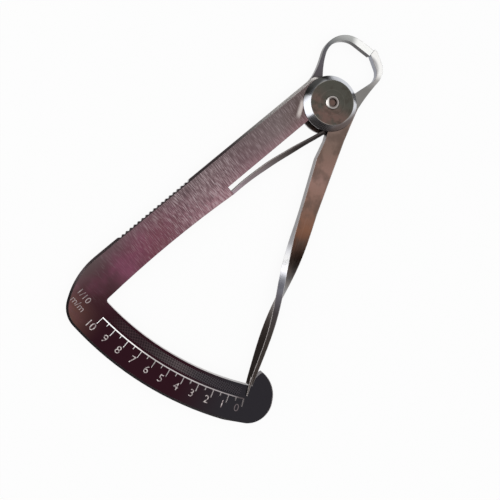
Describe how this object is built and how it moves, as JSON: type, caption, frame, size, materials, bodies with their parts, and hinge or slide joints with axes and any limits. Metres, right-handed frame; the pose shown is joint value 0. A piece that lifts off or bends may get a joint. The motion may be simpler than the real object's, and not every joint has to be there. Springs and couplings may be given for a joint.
{
  "type": "spring thickness caliper gauge",
  "caption": "Sprung two-arm thickness gauge: curved jaws meet tip to tip, and the pointer arm reads tenths on a graduated arc.",
  "frame": {"origin": "on the pivot axis, at the rear face of the hub, on which the gauge lies", "axes": "+Z out of the graduated face along the pivot, +Y from the pivot toward the jaws, +X away from the scale leg; the pointer at zero lies along -Y"},
  "size_m": [0.0678, 0.1161, 0.0065],
  "materials": {
    "brushed_steel": "satin, brushed across the arms",
    "turned_steel": "satin turned face with a polished bevel",
    "polished_steel": "polished",
    "spring_steel": "blue-grey satin"
  },
  "bodies": {
    "scale_body": {"scale_arm": "brushed_steel", "rear_disc": "turned_steel", "pivot_rivet": "polished_steel"},
    "pointer_body": {"pointer_arm": "brushed_steel", "front_disc": "turned_steel"},
    "leaf_body": {"leaf_spring": "spring_steel"}
  },
  "joints": [
    {"name": "pointer_turn", "type": "hinge", "parent": "scale_body", "child": "pointer_body", "pos_m": [0, 0, 0.0025], "axis": [0, 0, -1], "range_deg": [0, 30.35], "stiffness_Nm_per_rad": 0.1, "springref_deg": -17.19},
    {"name": "leaf_flex", "type": "hinge", "parent": "scale_body", "child": "leaf_body", "pos_m": [-0.01956, -0.03233, 0.0025], "axis": [0, 0, 1], "range_deg": [0, 7.25]}
  ],
  "couplings": [
    {"joint": "leaf_flex", "follows": "pointer_turn", "ratio": 0.23722}
  ]
}
